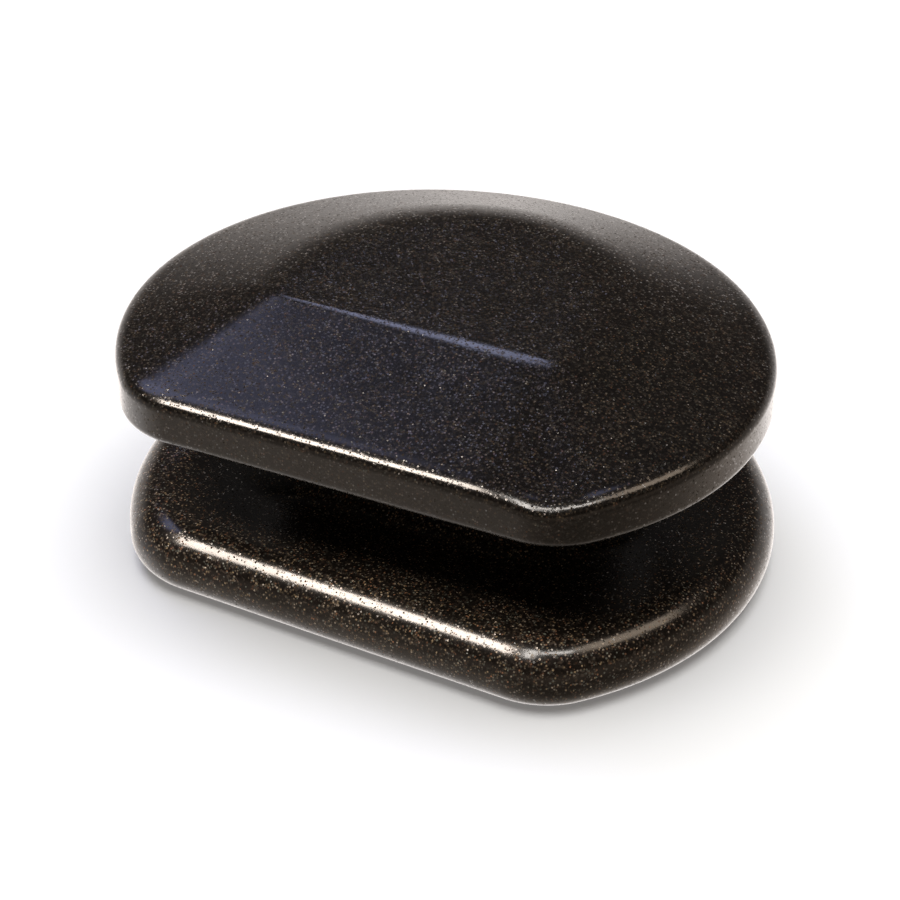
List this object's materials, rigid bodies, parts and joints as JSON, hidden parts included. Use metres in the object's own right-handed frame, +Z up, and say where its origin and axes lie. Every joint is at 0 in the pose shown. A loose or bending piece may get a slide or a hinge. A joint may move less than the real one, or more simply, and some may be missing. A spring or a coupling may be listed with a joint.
{
  "type": "basalt massage stone",
  "caption": "Palm-sized D-shaped basalt massage stone: a faceted cap stone on a round-edged base stone, with a finger groove around the waist between them.",
  "frame": {"origin": "on the flat underside of the base stone, below the widest line of the cap stone", "axes": "+Z up out of the resting surface, +X along the cap stone's straight front edge, +Y towards its rounded back"},
  "size_m": [0.0909, 0.0772, 0.0365],
  "materials": {
    "base_basalt": "satin",
    "cap_basalt": "satin"
  },
  "bodies": {
    "base": {"base_stone": "base_basalt"},
    "cap": {"cap_stone": "cap_basalt"}
  },
  "joints": [
    {"name": "cap_lift", "type": "slide", "parent": "base", "child": "cap", "axis": [0, 0, 1], "range_m": [0, 0.05]}
  ]
}
